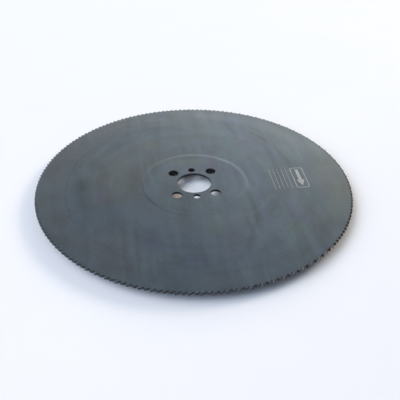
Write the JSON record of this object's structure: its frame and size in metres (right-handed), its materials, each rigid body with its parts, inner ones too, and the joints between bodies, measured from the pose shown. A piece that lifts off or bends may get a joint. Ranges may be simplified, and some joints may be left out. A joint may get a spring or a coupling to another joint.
{
  "type": "cold saw blade",
  "caption": "Thin round saw blade for cutting metal, with fine teeth round its rim, a central bore and drive-pin holes in a flat hub.",
  "frame": {"origin": "on the bore's axis, at the lower face that the blade lies on", "axes": "+Z along the bore's axis, up from the lower face; the two small drive-pin holes lie on the Y axis"},
  "size_m": [0.37, 0.37, 0.003],
  "materials": {
    "oxide_skin": "dark blue-grey steam-oxide skin on ground steel, satin"
  },
  "bodies": {
    "root": {"saw_blade": "oxide_skin"}
  },
  "joints": []
}
